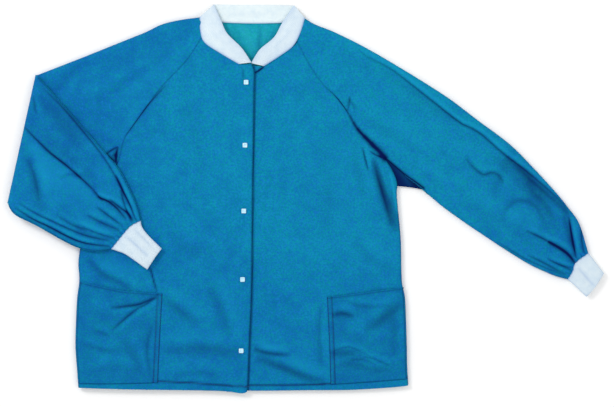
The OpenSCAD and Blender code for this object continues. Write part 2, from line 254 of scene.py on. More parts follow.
# Grid faces turned so that they, or the first half of them where asked, look up or down
def turned(grid, up, ring=False, firstHalf=False):
    faces = gridFaces(*grid.shape[:2], ring=ring)
    p = grid.reshape(-1, 3)
    half = faces[: len(faces) // 2] if ring or firstHalf else faces
    normal = np.cross(p[half[:, 2]] - p[half[:, 0]], p[half[:, 3]] - p[half[:, 1]])[:, 2].sum()
    return faces if (normal > 0) == up else faces[:, ::-1]


# Cloth thickness behind the outside face. A second material, where there is one, takes the inside.
def thicken(obj, thickness):
    skin = obj.modifiers.new("thickness", "SOLIDIFY")
    skin.thickness = thickness * 0.001
    skin.offset = -1
    skin.material_offset = len(obj.data.materials) - 1


# Flat area of a grid seen from above, in square metres
def flatArea(grid):
    d1 = grid[1:, 1:] - grid[:-1, :-1]
    d2 = grid[1:, :-1] - grid[:-1, 1:]
    return float(np.abs(d1[..., 0] * d2[..., 1] - d1[..., 1] * d2[..., 0]).sum() / 2e6)


# Rides one body; given a second body, it only has its place baked into its points
def follow(obj, body, other=None):
    if other is None:
        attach(obj, body)
    else:
        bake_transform(obj)


# Last steps of a piece: what it follows and the CAD nodes that it replaces
def settle(obj, nodes, body, other=None):
    follow(obj, body, other)
    if nodes:
        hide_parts(*nodes)


# An sRGB hex colour as linear RGBA
def linear(code):
    c = np.array([int(code[i : i + 2], 16) / 255 for i in (1, 3, 5)])
    return (*np.where(c <= 0.04045, c / 12.92, ((c + 0.055) / 1.055) ** 2.4), 1.0)


# One shader node: settings are its own properties, inputs its values or the sockets that feed them
def addNode(tree, kind, inputs=(), **settings):
    node = tree.nodes.new(kind)
    for key, value in settings.items():
        setattr(node, key, value)
    for key, value in dict(inputs).items():
        if isinstance(value, bpy.types.NodeSocket):
            tree.links.new(value, node.inputs[key])
        else:
            node.inputs[key].default_value = value
    return node


# Two colours mixed by a factor
def mixColour(tree, factor, a, b):
    return addNode(tree, "ShaderNodeMix", {0: factor, 6: a, 7: b}, data_type="RGBA").outputs[2]


def newMaterial(name, roughness, gloss=0.5):
    material = bpy.data.materials.new(name)
    material.use_nodes = True
    tree = material.node_tree
    shader = tree.nodes["Principled BSDF"]
    shader.inputs["Roughness"].default_value = roughness
    shader.inputs["Specular IOR Level"].default_value = gloss
    return material, tree, shader


# One sum, product or other step of arithmetic
def calc(tree, operation, *inputs):
    return addNode(tree, "ShaderNodeMath", dict(enumerate(inputs)), operation=operation).outputs[0]


# A value's range turned to 0..1
def spread(tree, value, low, high):
    inputs = {"Value": value, "From Min": low, "From Max": high}
    return addNode(tree, "ShaderNodeMapRange", inputs).outputs[0]


clothLook = {
    "mottle": 3.6,  # size of the dye mottle, mm
    "fibre": 1.1,  # size of the fibre clumps, mm: coarser than real fibres, so that they show
    "hue": 3.4,  # size of the violet and green specks, mm
    "drift": 26.3,  # size of the slow drift of tone, mm
    "bond": 1.7,  # pitch of the bonding points, mm
    "driftShare": 1.1,
    "lowShare": 0.52,  # strength of the dark mottle
    "highShare": 0.95,  # strength of the light mottle
    "violetShare": 0.72,
    "leafShare": 0.66,
    "fibreShare": 0.35,
    "roughness": 0.72,
    "gloss": 0.03,  # share of the plain reflection that fibres keep
    "bump": 0.45,
}


# Nonwoven cloth, spun and heat bonded: matt, with specks of dye over a slow drift from blue to green,
# painted shade in creases, painted highlights on the lit sides of folds and a fine field of bonding points
def nonwoven(name, deep, green, low, high, dark, lit, violet, leaf):
    look = clothLook
    material, tree, shader = newMaterial(name, look["roughness"], look["gloss"])
    rest = addNode(tree, "ShaderNodeAttribute", attribute_name="rest").outputs["Vector"]
    tone = addNode(tree, "ShaderNodeAttribute", attribute_name="tone").outputs["Fac"]
    shade = addNode(tree, "ShaderNodeAttribute", attribute_name="shade").outputs["Fac"]
    mottle = addNode(tree, "ShaderNodeTexNoise", {
        "Vector": rest, "Scale": 1000 / look["mottle"], "Detail": 4.0, "Roughness": 0.68,
    }).outputs[0]
    fibre = addNode(tree, "ShaderNodeTexNoise", {
        "Vector": rest, "Scale": 1000 / look["fibre"], "Detail": 2.0, "Roughness": 0.7, "Distortion": 0.6,
    }).outputs[0]
    hue = addNode(tree, "ShaderNodeTexNoise", {
        "Vector": rest, "Scale": 1000 / look["hue"], "Detail": 2.0, "Roughness": 0.6,
    }).outputs[0]
    drift = addNode(tree, "ShaderNodeTexNoise", {
        "Vector": rest, "Scale": 1000 / look["drift"], "Detail": 3.0,
    }).outputs[0]
    bond = addNode(tree, "ShaderNodeTexVoronoi", {
        "Vector": rest, "Scale": 1000 / look["bond"],
    }).outputs[0]
    drift = calc(tree, "MULTIPLY", calc(tree, "SUBTRACT", drift, 0.5), look["driftShare"])
    slow = calc(tree, "ADD", tone, drift)
    colour = mixColour(tree, slow, linear(deep), linear(green))
    flecks = calc(tree, "MULTIPLY", spread(tree, mottle, 0.5, 0.66), calc(tree, "ADD", slow, 0.15))
    for mask, share, paint in (
        (spread(tree, mottle, 0.5, 0.36), "lowShare", low),
        (flecks, "highShare", high),
        (spread(tree, hue, 0.5, 0.7), "violetShare", violet),
        (spread(tree, hue, 0.5, 0.3), "leafShare", leaf),
        (spread(tree, fibre, 0.52, 0.75), "fibreShare", low),
    ):
        colour = mixColour(tree, calc(tree, "MULTIPLY", mask, look[share]), colour, linear(paint))
    # The shade attribute paints shade towards dark and a highlight towards lit
    darker = addNode(tree, "ShaderNodeClamp", {"Value": shade}).outputs[0]
    lighter = addNode(tree, "ShaderNodeClamp", {"Value": calc(tree, "MULTIPLY", shade, -1.0)}).outputs[0]
    colour = mixColour(tree, lighter, colour, linear(lit))
    colour = mixColour(tree, darker, colour, linear(dark))
    tree.links.new(colour, shader.inputs["Base Color"])
    rough = addNode(tree, "ShaderNodeMapRange", {"Value": fibre, "To Min": 0.64, "To Max": 0.84})
    tree.links.new(rough.outputs[0], shader.inputs["Roughness"])
    relief = calc(tree, "ADD", calc(tree, "MULTIPLY", bond, 0.5), calc(tree, "MULTIPLY", fibre, 0.8))
    bump = addNode(tree, "ShaderNodeBump", {"Height": relief, "Strength": look["bump"], "Distance": 0.0004})
    tree.links.new(bump.outputs[0], shader.inputs["Normal"])
    return material


knitLook = {
    "rib": 2.6,  # pitch of the ribs, mm
    "stitch": 1.5,  # pitch of the stitches along a rib, mm
    "sway": 16.7,  # size of the ribs' wandering, mm
    "fuzz": 1.11,  # size of the loose fibres, mm
    "patch": 11.1,  # size of the tighter and looser patches, mm
    "roughness": 0.85,
    "gloss": 0.1,
    "sheen": 0.15,
}


# Cotton rib knit: raised ribs with slanted stitches, painted bluish shade between the ribs and a soft,
# fuzzy, matt white
def ribKnit(name, white, grooveShade, shadow):
    look = knitLook
    material, tree, shader = newMaterial(name, look["roughness"], look["gloss"])
    place = addNode(tree, "ShaderNodeAttribute", attribute_name="knit").outputs["Vector"]
    shade = addNode(tree, "ShaderNodeAttribute", attribute_name="shade").outputs["Fac"]
    rest = addNode(tree, "ShaderNodeAttribute", attribute_name="rest").outputs["Vector"]
    split = addNode(tree, "ShaderNodeSeparateXYZ", {0: place})
    sway, fuzz, patchy = (
        addNode(tree, "ShaderNodeTexNoise",
                {"Vector": rest, "Scale": 1000 / look[key], "Detail": detail}).outputs[0]
        for key, detail in (("sway", 2.0), ("fuzz", 3.0), ("patch", 3.0))
    )
    across = calc(tree, "MULTIPLY", split.outputs[0], 2 * np.pi / look["rib"])
    ribPhase = calc(tree, "ADD", across, calc(tree, "MULTIPLY", sway, 2.2))
    rib = calc(tree, "ADD", calc(tree, "MULTIPLY", calc(tree, "SINE", ribPhase), 0.5), 0.5)
    slant = calc(tree, "ABSOLUTE", calc(tree, "SINE", calc(tree, "MULTIPLY", ribPhase, 0.5)))
    down = calc(tree, "MULTIPLY", split.outputs[1], 2 * np.pi / look["stitch"])
    loop = calc(tree, "SINE", calc(tree, "ADD", down, calc(tree, "MULTIPLY", slant, 3.0)))
    loop = calc(tree, "ADD", calc(tree, "MULTIPLY", loop, 0.5), 0.5)
    depth = calc(tree, "MULTIPLY", calc(tree, "SUBTRACT", 1.0, rib), 0.5)
    depth = calc(tree, "ADD", depth, calc(tree, "MULTIPLY", calc(tree, "SUBTRACT", 1.0, loop), 0.16))
    depth = calc(tree, "MULTIPLY", depth, spread(tree, patchy, 0.2, 0.7))
    loose = calc(tree, "MULTIPLY", spread(tree, patchy, 0.5, 0.8), 0.1)
    darker = addNode(tree, "ShaderNodeClamp", {"Value": shade}).outputs[0]
    # Painted shade between the ribs and over the looser patches, then painted shade from the shade attribute
    colour = mixColour(tree, depth, linear(white), linear(grooveShade))
    colour = mixColour(tree, loose, colour, linear(grooveShade))
    colour = mixColour(tree, darker, colour, linear(shadow))
    tree.links.new(colour, shader.inputs["Base Color"])
    height = calc(tree, "ADD", rib, calc(tree, "MULTIPLY", loop, 0.35))
    height = calc(tree, "ADD", height, calc(tree, "MULTIPLY", fuzz, 0.4))
    bump = addNode(tree, "ShaderNodeBump", {"Height": height, "Strength": 0.7, "Distance": 0.0005})
    tree.links.new(bump.outputs[0], shader.inputs["Normal"])
    shader.inputs["Sheen Weight"].default_value = look["sheen"]
    return material


plasticLook = {
    "grain": 0.4,  # size of the mould's fine texture, mm
    "drift": 3.85,  # size of the tint's drift, mm
    "roughness": 0.35,
}


# Moulded acetal: smooth and slightly see-through white with a faint blue tint and dulled high spots
def moulded(name, light, tint):
    material, tree, shader = newMaterial(name, plasticLook["roughness"])
    place = addNode(tree, "ShaderNodeTexCoord").outputs["Object"]
    grain, drift = (
        addNode(tree, "ShaderNodeTexNoise", {
            "Vector": place, "Scale": 1000 / plasticLook[key], "Detail": detail,
        }).outputs[0]
        for key, detail in (("grain", 3.0), ("drift", 2.0))
    )
    colour = mixColour(tree, spread(tree, drift, 0.3, 0.7), linear(light), linear(tint))
    tree.links.new(colour, shader.inputs["Base Color"])
    rough = addNode(tree, "ShaderNodeMapRange", {"Value": grain, "To Min": 0.28, "To Max": 0.48})
    tree.links.new(rough.outputs[0], shader.inputs["Roughness"])
    bump = addNode(tree, "ShaderNodeBump", {"Height": grain, "Strength": 0.2, "Distance": 0.0001})
    tree.links.new(bump.outputs[0], shader.inputs["Normal"])
    return material


threadLook = {
    "strand": 0.556,  # size of the twisted strands, mm
    "roughness": 0.6,
}


# Spun polyester thread: dark blue with lighter strands that twist along each stitch
def twisted(name, light, dark):
    material, tree, shader = newMaterial(name, threadLook["roughness"])
    rest = addNode(tree, "ShaderNodeAttribute", attribute_name="rest").outputs["Vector"]
    strand = addNode(tree, "ShaderNodeTexNoise", {
        "Vector": rest, "Scale": 1000 / threadLook["strand"], "Detail": 2.0,
    }).outputs[0]
    colour = mixColour(tree, spread(tree, strand, 0.35, 0.65), linear(dark), linear(light))
    tree.links.new(colour, shader.inputs["Base Color"])
    bump = addNode(tree, "ShaderNodeBump", {"Height": strand, "Strength": 0.4, "Distance": 0.0002})
    tree.links.new(bump.outputs[0], shader.inputs["Normal"])
    return material


# After the mottle colours come the painted shade colour and the painted highlight colour, then the specks
blueCloth = nonwoven("blue_nonwoven_cloth", "#085FA0", "#0A8EAE", "#0659A8", "#0C97B0", "#04164F",
                     "#159CC8", "#1676C6", "#04888E")
tealCloth = nonwoven("teal_nonwoven_inside", "#1289A4", "#1AA3B8", "#128BA8", "#25B0C2", "#0A4E80",
                     "#34B4C8", "#1E96C2", "#10A49C")
# White, the painted shade between the ribs, and the painted shade colour
whiteKnit = ribKnit("white_rib_knit", "#ECF8FA", "#C4DDEE", "#86A8D8")
snapPlastic = moulded("white_acetal_snap", "#D2F0FA", "#A6DCF2")
blueThread = twisted("blue_polyester_thread", "#0C4C90", "#072C70")
print("materials made")

# Outlines and seams, mm. Each runs from the hem or the neck as its name says.
rightSide = smooth([(-338, -367), (-341, -327), (-344, -279), (-342, -215), (-340, -183), (-336, -151),
                    (-338, -119), (-334, -87), (-318, -25), (-300, 29.5)])
leftSide = smooth([(323, -358), (321, -327), (320, -279), (318, -215), (316, -183), (310, -151), (308, -71),
                   (302, -7), (300, 20), (301, 37)])
rightHem = smooth([(-338, -367), (-240, -370), (-62, -373), (-12, -378), (0, -375)])
leftHem = smooth([(-26, -371), (20, -373), (120, -372), (216, -371), (314, -364), (323, -358)])
backHem = smooth([(-338, -367), (-240, -368), (-62, -370), (120, -370), (216, -369), (314, -362),
                  (323, -358)])
rightRaglan = smooth([(-300, 29.5), (-262, 75), (-246, 130), (-228, 159), (-176, 229), (-122, 287),
                      (-94, 329), (-85, 341)])
leftRaglan = smooth([(100, 327), (128, 275), (154, 239), (178, 217), (198, 191), (220, 153), (248, 123),
                     (276, 93)])
leftArmhole = smooth([(276, 93), (288, 75), (296, 59), (300, 47), (301, 37)], 20)
leftGroove = smooth([(276, 93), (316, 59), (336, 45), (352, 33)], 24)
frontEdge = smooth([(0, -375), (4, -271), (8, -171), (10, 9), (13, 220), (14, 259), (12.5, 274), (9, 281)])
underEdge = smooth([(-26, -371), (-20, -171), (-14, 100), (-12, 277.5)])
rightNeck = smooth([(-85, 341), (-72, 324), (-18, 283), (9, 281)])
leftNeck = smooth([(-12, 277.5), (12, 278), (34, 278), (92, 317), (100, 327)])
rightTop = smooth([(-94, 375), (-132, 370), (-170, 361), (-204, 345), (-244, 329), (-324, 297), (-422, 259)])
rightUnder = smooth([(-300, 29.5), (-360, 24), (-478, 5)])
rightCrease = at(np.array([(-421.5, 258.9), (-477.9, 2.3)]), np.linspace(0, 1, 60))  # straight, on the hinge
foreTop = smooth([(-422, 259), (-352, 181), (-282, 101), (-258, 73), (-238, 37), (-220, -3), (-212, -32)])
foreLow = smooth([(-478, 5), (-470, -10), (-458, -21), (-422, -39), (-394, -55), (-366, -71), (-334, -86),
                  (-300, -92), (-271, -89)])
rightWrist = smooth([(-212, -32), (-232, -43), (-249, -62), (-271, -89)])
leftTop = smooth([(114, 374), (136, 361), (176, 345), (240, 313), (322, 265), (398, 217), (440, 186)])
leftUnder = smooth([(352, 33), (362, 21), (376, 9), (394, -6), (440, -39)])
leftElbow = smooth([(440, 186), (441, 74), (440, -39)])
leftForeTop = smooth([(440, 186), (462, 169), (526, 121), (574, 73), (618, 25), (644, -7), (666, -39),
                      (684, -97)])
leftForeLow = smooth([(440, -39), (488, -71), (512, -87), (564, -119), (598, -135), (620, -144),
                      (642, -150)])
leftWrist = smooth([(684, -97), (664, -111), (655, -121), (652, -133), (642, -150)])

folds = {
    "right": [np.vstack([rightSide, rightUnder]), rightTop],
    "left": [np.vstack([leftSide, leftArmhole[::-1]]), np.vstack([leftGroove, leftUnder, leftForeLow]),
             np.vstack([leftTop, leftForeTop])],
    "fore": [foreTop, foreLow],
}


# Share of full height near the folded edges of a side
def edgeShare(x, y, side, radius):
    return roundEdge(np.min([nearest(x, y, path)[0] for path in folds[side]], axis=0), radius)


# Creases: path, half width, height, painted shade, painted highlight on the left of the path (all lengths in
# mm)
torsoCreases = {
    "right": [
        ([(-318, -108), (-290, -138), (-262, -152), (-226, -172)], 8, -1.3, 0.36, 0.2),
        ([(-292, -122), (-262, -136), (-210, -150)], 9, 1.0, 0.0, 0.16),
        ([(-198, -120), (-192, -133), (-187, -150), (-180, -176)], 3, -0.9, 0.5, 0.15),
        ([(-169, -186), (-130, -214), (-94, -242)], 11, -1.0, 0.33, 0.14),
        ([(-80, -150), (-52, -210), (-30, -270)], 12, -1.0, 0.22, 0.16),
        ([(-170, -291), (-90, -288), (-10, -296)], 13, -1.0, 0.34, 0.14),
        ([(-226, 130), (-190, 60), (-178, -30)], 16, 1.1, 0.0, 0.08),
        ([(-120, 230), (-96, 120), (-92, 0)], 18, -0.9, 0.06, 0.05),
        ([(-40, 250), (-30, 120), (-34, 10)], 14, 0.9, 0.0, 0.06),
        ([(-160, -60), (-110, -90), (-60, -92)], 14, -0.8, 0.1, 0.06),
        ([(-150, -345), (-100, -335), (-50, -345)], 8, -0.7, 0.16, 0.08),
        ([(-160, 241), (-200, 196), (-244, 136)], 3.4, -0.5, 0.4, 0.0),
        ([(-16, 276), (-8, 268), (-6, 240)], 3.2, -0.6, 0.22, 0.1),
    ],
    "left": [
        ([(254, 96), (265, 56), (281, 8), (300, -56)], 11, -2.0, 0.66, 0.0),
        ([(252, 92), (261, 56), (274, 12), (290, -44)], 6.5, -0.7, 0.28, 0.0),
        ([(248, 112), (262, 70), (280, 10)], 4, 1.2, 0.0, 0.24),
        ([(286, 66), (295, 26), (302, -20)], 4, 1.5, -0.3, 0.2),
        ([(231, 116), (236, 94), (243, 66)], 3.6, -1.1, 0.5, 0.2),
        ([(244, 108), (256, 100), (270, 94)], 3.2, -0.8, 0.4, 0.2),
        ([(214, 130), (222, 80), (236, 10)], 10, -1.0, 0.14, 0.14),
        ([(16, 263), (26, 270), (35, 277)], 3.4, -1.2, 0.7, 0.1),
        ([(12, -288), (40, -297), (88, -302)], 7, -1.4, 0.62, 0.26),
        ([(16, -306), (60, -322), (120, -346), (160, -356)], 9, -1.4, 0.6, 0.24),
        ([(20, -292), (70, -308), (130, -334)], 7, 1.2, 0.0, 0.1),
        ([(60, 200), (90, 100), (96, -10)], 18, 0.9, 0.0, 0.07),
        ([(150, 150), (166, 40), (160, -90)], 18, -0.9, 0.07, 0.07),
        ([(40, -80), (100, -110), (180, -100)], 16, 0.8, 0.0, 0.07),
        ([(210, -60), (250, -110), (290, -130)], 12, -0.9, 0.1, 0.1),
        ([(150, -196), (144, -250), (150, -330)], 7, -0.8, 0.2, 0.1),
        ([(148, 254), (178, 218), (206, 180)], 3.4, -0.6, 0.5, 0.0),
    ],
}

sleeveCreases = {
    "right": [
        ([(-120, 350), (-200, 312), (-290, 270), (-380, 236)], 16, 1.0, 0.04, 0.1),
        ([(-150, 300), (-220, 260), (-300, 205)], 12, -1.0, 0.12, 0.12),
        ([(-190, 250), (-240, 200), (-276, 130)], 12, 1.0, 0.0, 0.12),
        ([(-284, 100), (-272, 108), (-258, 116)], 3.2, -1.2, 0.5, 0.1),
        ([(-282, 102), (-272, 92), (-262, 84)], 3.2, -1.2, 0.6, 0.0),
        ([(-258, 116), (-262, 96), (-260, 76)], 4, -1.2, 0.6, 0.0),
        ([(-270, 100), (-264, 98), (-258, 96)], 7, -0.6, 0.4, 0.0),
        ([(-330, 285), (-370, 240), (-390, 215)], 9, -0.9, 0.12, 0.1),
    ],
    "left": [
        ([(220, 313), (242, 295), (286, 273), (336, 235), (374, 205), (428, 163), (464, 145), (512, 103),
          (562, 65), (630, 5), (644, -21)], 3.6, -1.7, 0.42, 0.4),
        ([(232, 296), (290, 260), (350, 214), (430, 152)], 9, -0.6, 0.16, 0.0),
        ([(516, 96), (551, 66), (588, 32), (628, -4), (646, -26)], 8, -1.8, 0.55, 0.0),
        ([(496, 98), (542, 54), (588, 8), (632, -52)], 17, -0.6, 0.3, 0.0),
        ([(150, 335), (220, 290), (300, 238), (380, 180)], 14, 1.0, 0.06, 0.1),
        ([(206, 218), (204, 200), (202, 186)], 3.4, -0.9, 0.3, 0.15),
        ([(204, 212), (212, 200), (214, 190)], 6, -0.7, 0.24, 0.1),
        ([(230, 180), (290, 140), (360, 90)], 13, -1.2, 0.12, 0.1),
        ([(270, 120), (330, 80), (400, 30)], 9, 1.1, 0.04, 0.1),
        ([(438, 92), (456, 72), (474, 60), (490, 64), (504, 58), (514, 40)], 5.5, -1.3, 0.34, 0.2),
        ([(520, 92), (512, 60), (498, 30), (496, 4)], 9, -1.0, 0.16, 0.1),
        ([(400, 120), (440, 92), (480, 88)], 9, 1.1, 0.0, 0.1),
        ([(512, -36), (518, -12), (536, 6), (560, 6), (582, -10), (600, -44)], 7, -1.1, 0.24, 0.0),
        ([(530, -60), (540, -30), (560, -20), (584, -50)], 10, 1.2, -0.1, 0.06),
        ([(560, 50), (574, 24), (596, 4), (616, -30)], 8, -1.0, 0.22, 0.1),
        ([(430, 10), (500, -30), (570, -70)], 12, -1.1, 0.1, 0.1),
        ([(580, 10), (600, -20), (630, -70)], 9, 1.2, 0.0, 0.14),
        ([(644, -24), (651, -66), (659, -108)], 3.8, -1.7, 0.75, 0.28),
        ([(634, -20), (644, -60), (656, -104)], 7, -0.8, 0.3, 0.1),
        ([(558, -52), (588, -66), (618, -82)], 4.2, -1.2, 0.42, 0.24),
        ([(602, -74), (624, -86), (642, -99), (658, -118)], 5.4, -1.8, 0.85, 0.28),
        ([(600, -108), (620, -118), (650, -130)], 4, -1.1, 0.45, 0.25),
        ([(670, -40), (670, -70), (675, -98)], 4, -1.0, 0.4, 0.25),
        ([(560, -100), (600, -120), (640, -142)], 4, -1.0, 0.36, 0.2),
        ([(500, -74), (560, -110), (630, -140)], 3, -0.7, 0.26, 0.1),
    ],
    "fore": [
        ([(-448, 159), (-420, 130), (-392, 103), (-354, 73), (-308, 31), (-286, 5)], 3.6, -1.6, 0.6, 0.0),
        ([(-440, 172), (-410, 142), (-370, 106), (-326, 70), (-290, 30)], 13, -0.4, 0.16, 0.0),
        ([(-286, -8), (-308, 14), (-354, 54), (-396, 82), (-446, 134)], 12, 1.2, -0.2, 0.12),
        ([(-426, 216), (-423, 197), (-420, 180)], 4.0, -1.0, 0.26, 0.15),
        ([(-418, 212), (-400, 200), (-362, 160), (-322, 112)], 18, -1.0, 0.3, 0.0),
        ([(-410, 236), (-370, 196), (-320, 138), (-284, 92), (-256, 44), (-236, -4)], 3.4, -0.8, 0.42, 0.1),
        ([(-462, -6), (-430, -27), (-397, -43), (-333, -74), (-272, -84)], 3.4, -1.3, 0.62, 0.3),
        ([(-456, 4), (-424, -16), (-391, -32), (-327, -60), (-276, -72)], 3.2, -0.8, 0.4, 0.2),
        ([(-450, 125), (-426, 66), (-415, 16), (-409, -22)], 11, -1.1, 0.3, 0.14),
        ([(-436, 92), (-422, 50), (-414, 6)], 6, -0.8, 0.2, 0.06),
        ([(-353, -22), (-330, -51), (-300, -66), (-271, -72)], 8, -1.2, 0.24, 0.24),
        ([(-340, 140), (-300, 90), (-262, 40)], 9, 1.2, 0.0, 0.12),
        ([(-301, 16), (-280, 8), (-260, -7), (-240, -30)], 4, -1.5, 0.5, 0.3),
        ([(-306, 26), (-290, 12), (-266, 4)], 3.2, -0.8, 0.24, 0.15),
        ([(-275, 12), (-255, -4), (-235, -20), (-226, -34)], 4.2, -1.6, 0.6, 0.25),
        ([(-262, 60), (-246, 26), (-232, -4), (-221, -33)], 3.4, -1.3, 0.62, 0.3),
        ([(-252, 30), (-244, 0), (-230, -34)], 3.2, -1.0, 0.45, 0.2),
        ([(-320, -20), (-290, -36), (-252, -52)], 5, -1.2, 0.36, 0.24),
        ([(-330, -44), (-296, -58), (-262, -68)], 4.5, -1.0, 0.36, 0.24),
        ([(-300, -4), (-276, -22), (-246, -44)], 4, -1.1, 0.4, 0.22),
        ([(-326, 78), (-310, 50), (-300, 10)], 8, 1.0, 0.0, 0.1),
        ([(-440, 60), (-400, 30), (-350, 10)], 14, 1.0, 0.0, 0.12),
        ([(-372, 52), (-352, 60), (-330, 54)], 6, -0.8, 0.2, 0.1),
        ([(-380, -20), (-350, -40), (-318, -52)], 5, -0.8, 0.26, 0.2),
    ],
}


# Height and shade of the upper cloth of the body and sleeves: half its height at the folded edges,
# rounding up to the level inside, then ripples, creases, seam valleys and the droop at the hem
def upperCloth(x, y, side, creases, seams=()):
    level = layers[side]
    share = edgeShare(x, y, side, layers[side + "Round"])
    rise, shade = creased(x, y, creases)
    dips = [seamed(x, y, *seam) for seam in seams]
    if dips:
        rise = rise + np.min([dip for dip, _ in dips], axis=0)
        shade = shade + np.max([line for _, line in dips], axis=0)
    droop = 1 - layers["hemDroop"] * np.exp(-np.clip(y - layers["hemLine"], 0, 500) / layers["hemReach"])
    z = level / 2 * (1 + share * droop) + share * (layers["ripple"] * ripple(x, y) + rise)
    z = np.minimum(z, layers["rightStop"]) if side == "right" else z
    # Painted shade: the creases' and seams' shade, with more towards the folded edges where the cloth turns
    # down
    return z, shade + mesh["rim"] * (1 - share) ** 2


# Height of the lower cloth: half the height at the folded edges, rounding down to the table
def lowerCloth(x, y, side):
    share = edgeShare(x, y, side, layers[side + "Round"])
    return layers[side] / 2 - (layers[side] / 2 - layers["low"]) * share


# Fractions along two sides that meet at a corner
def sides(low, left, step):
    return steps(lengthOf(low), step), steps(lengthOf(left), step)


# Seams: path, half width, depth and darkness (a dark seam line, partly painted shade in its valley). The
# left armhole's seam widens towards the underarm into a broad band of painted shadow, and the line beside
# the sleeve (leftGroove) is painted shadow too.
allSeams = {
    "right": [(rightRaglan, 1.6, 0.8, 0.3)],
    "left": [(leftRaglan[a:b], *rest) for a, b, *rest in (
        (0, 38, 1.9, 0.8, 0.22), (34, 44, 2.3, 1.1, 0.45), (37, 46, 2.9, 1.4, 0.7), (40, 49, 3.6, 1.8, 0.9),
        (43, 52, 4.4, 2.1, 1.05), (47, 55, 5.3, 2.4, 1.15), (51, 57, 6.2, 2.6, 1.2), (54, 60, 7.0, 2.6, 1.2),
    )] + [(leftGroove, 3.8, 1.2, 1.0)],
}
frontValues = {
    "facing": 40.0,  # width of the facings
    "facingDrop": 2.0,  # how far the facings lie under the fronts
    "facingCloth": 0.6,  # thickness of the facings
}
hemStitch = smooth([(-337, -357), (-174, -354), (-8, -364), (0, -364)])
hemStitchLeft = smooth([(-24, -362), (120, -361), (174, -358), (321, -347)])


# A front of the coat: one sheet from the side seam to its edge
def makeFront(side, low, high, left, right, extra):
    s, t = sides(low, left, mesh["step"])
    xy = patch(low, high, left, right, s, t)
    x, y = xy[..., 0], xy[..., 1]
    z, shade = upperCloth(x, y, side, torsoCreases[side], allSeams[side] + extra)
    grid = np.dstack([xy, z])
    obj = build(f"{side}_front_cloth", grid, turned(grid, True), [blueCloth, tealCloth],
                shade=shade, tone=toneAt(x, y))
    thicken(obj, layers["cloth"])
    settle(obj, [f"{side}_front", f"{side}_front_side"],
           "torso", f"{side}_flap")
    print(side, "front made")


# Extra lines: painted shade along the right front's edge and folded side; on the left front, the right
# front's painted shadow beside its edge and painted shade along the folded side and armhole; and the dark
# hem stitch lines
makeFront("right", rightHem, np.vstack([rightRaglan, rightNeck]), rightSide, frontEdge,
          [(frontEdge, 1.6, 1.1, 0.4), (hemStitch, 2.0, 0.8, 0.72), (rightSide, 2.2, 0.0, 0.35)])
makeFront("left", leftHem, np.vstack([leftNeck, leftRaglan, leftArmhole]), underEdge, leftSide,
          [(frontEdge + [2.2, 0], 2.1, 0.2, 0.8), (hemStitchLeft, 2.0, 0.8, 0.72), (leftSide, 2.2, 0.0, 0.3),
           (leftArmhole, 2.4, 0.0, 0.45)])

# Back panel: outside face on the table, inside face seen through the neck
s, t = sides(backHem, rightSide, mesh["backStep"])
backTop = np.vstack([rightRaglan, [(-94, 350), (-94, 374)], [(-40, 371), (20, 370), (60, 371), (114, 374)],
                     leftRaglan, leftArmhole])
xy = patch(backHem, backTop, rightSide, leftSide, s, t)
x, y = xy[..., 0], xy[..., 1]
leftShare = 1 / (1 + np.exp(-(x - 8) / 6))  # the back's height eases from one side's to the other's
z = lowerCloth(x, y, "right") * (1 - leftShare) + lowerCloth(x, y, "left") * leftShare
neckCreases = [
    ([(26, 372), (24, 330), (20, 290)], 5, 1.1, 0.22, 0.2),
    ([(-30, 366), (-12, 330), (0, 296)], 7, 0.9, 0.12, 0.2),
    ([(60, 362), (44, 326), (28, 300)], 6, 0.9, 0.14, 0.15),
]
rise, shade = creased(x, y, neckCreases)
grid = np.dstack([xy, z + rise + 0.25 * (1 + ripple(x, y))])
backPanel = build("back_panel_cloth", grid, turned(grid, False), [blueCloth, tealCloth],
                  shade=shade, tone=toneAt(x, y))
thicken(backPanel, layers["cloth"])
settle(backPanel, ["back_panel"], "torso")
print("back panel made")


# Facing behind a front edge: a strip under the front that follows its edge
def makeFacing(side, edge, inward):
    s = steps(lengthOf(edge), 4)
    t = steps(frontValues["facing"], 4)
    curve = at(edge, s)
    x = curve[None, :, 0] + t[:, None] * inward * frontValues["facing"]
    y = curve[None, :, 1] + 0 * x
    z, shade = upperCloth(x, y, side, torsoCreases[side])
    grid = np.dstack([x, y, z - frontValues["facingDrop"]])
    obj = build(f"{side}_facing_cloth", grid, turned(grid, False), [tealCloth, tealCloth],
                shade=shade * 0.5, tone=toneAt(x, y))
    thicken(obj, frontValues["facingCloth"])
    settle(obj, [f"{side}_front_facing"], f"{side}_flap")


makeFacing("right", frontEdge - [1.0, 0], -1)
makeFacing("left", underEdge + [1.0, 0], 1)
print("facings made")


# Flattened tube of cloth: upper and lower faces share its two folded edges. Rows run round it.
def makeTube(name, top, under, start, end, heights, materials, tone, thickness, step, knit=None):
    s = steps(lengthOf(top), step)
    t = steps(lengthOf(start), step)
    xy = patch(top, under, start, end, s, t)
    above, below, dark = heights(xy[..., 0], xy[..., 1], t)
    ring = np.concatenate([np.dstack([xy, above]), np.dstack([xy, below])[-2:0:-1]])
    shade = np.concatenate([dark, 0 * dark[-2:0:-1]])
    places = None if knit is None else knit(s, t)
    obj = build(name, ring, turned(ring, True, ring=True), materials, knit=places,
                shade=shade, tone=tone(ring[..., 0], ring[..., 1]))
    thicken(obj, thickness)
    return obj, 2 * flatArea(np.dstack([xy, above]))


elbow = {
    "radius": 14.0,  # radius of the cloth's turn at the elbow fold
    "low": 14.4,  # height of the upper sleeve's underside at the fold
    "high": 18.9,  # height of the forearm's top at the fold
    "bulge": 1.8,  # how far the fold stands out
    "cloth": 0.6,
    "out": (-0.977, 0.215),  # the way out from the fold, square to it
    "round": 0.0085,  # length of cloth round the fold, metres
}


